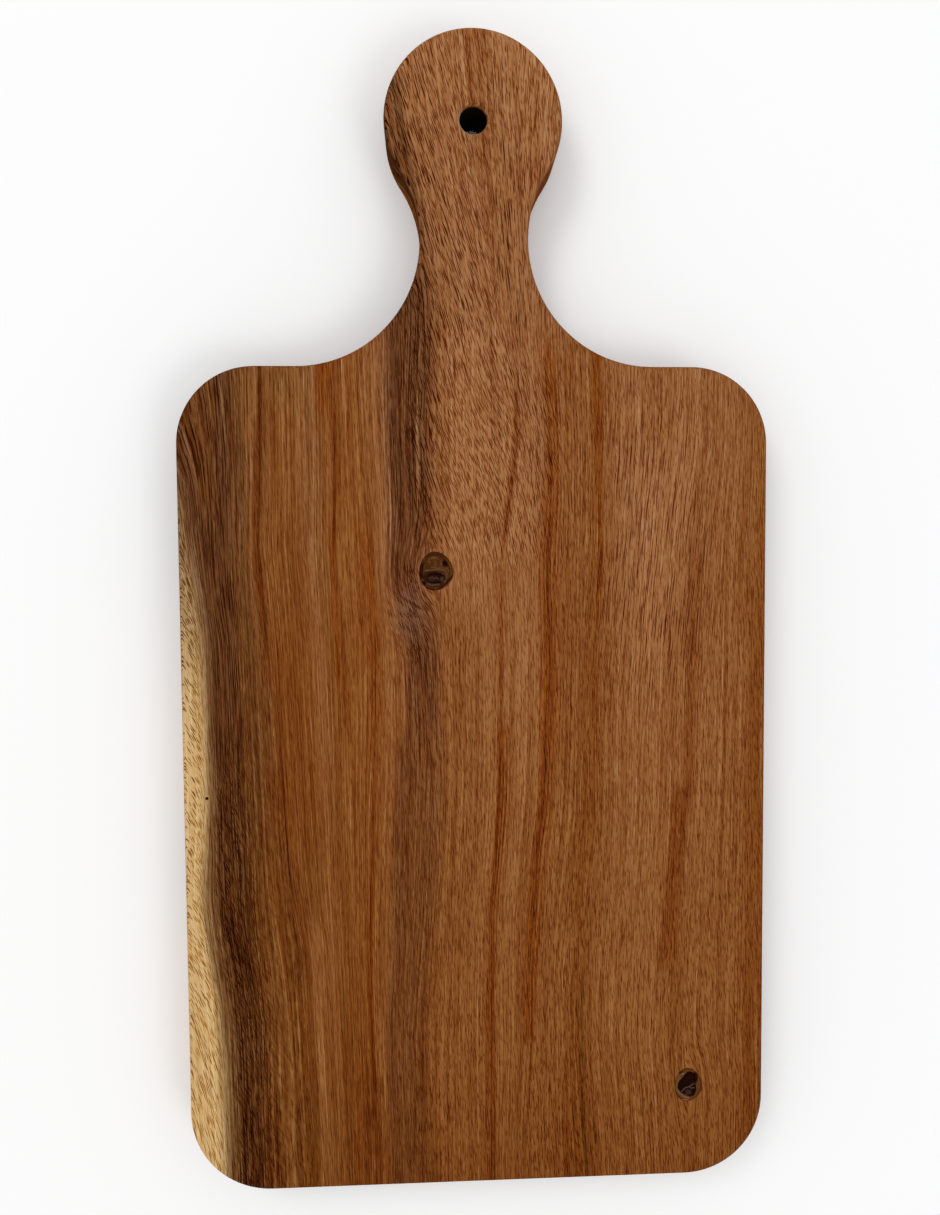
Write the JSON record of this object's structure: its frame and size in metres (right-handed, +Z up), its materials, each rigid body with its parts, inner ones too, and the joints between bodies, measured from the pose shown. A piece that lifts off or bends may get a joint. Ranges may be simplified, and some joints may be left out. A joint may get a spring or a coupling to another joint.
{
  "type": "paddle charcuterie board",
  "caption": "Flat paddle-shaped serving board cut from one wooden plank, with rounded corners, a necked handle with a round head and hanging hole, and encased knots.",
  "frame": {"origin": "on the surface that the board rests on, under the middle of its length and width", "axes": "+X across the board to the right, +Y along the board towards the handle, +Z up out of the serving face"},
  "size_m": [0.203, 0.4, 0.018],
  "materials": {
    "plank_wood": "oiled, satin, open pores along the grain",
    "knot_bark": "dark bark ring, matte",
    "knot_wood": "olive brown branch wood, satin",
    "knot_heart": "near black, cracked, matte"
  },
  "bodies": {
    "root": {"board": "plank_wood", "upper_knot_bark": "knot_bark", "upper_knot": "knot_wood", "upper_knot_heart": "knot_heart", "lower_knot_bark": "knot_bark", "lower_knot": "knot_heart"}
  },
  "joints": []
}
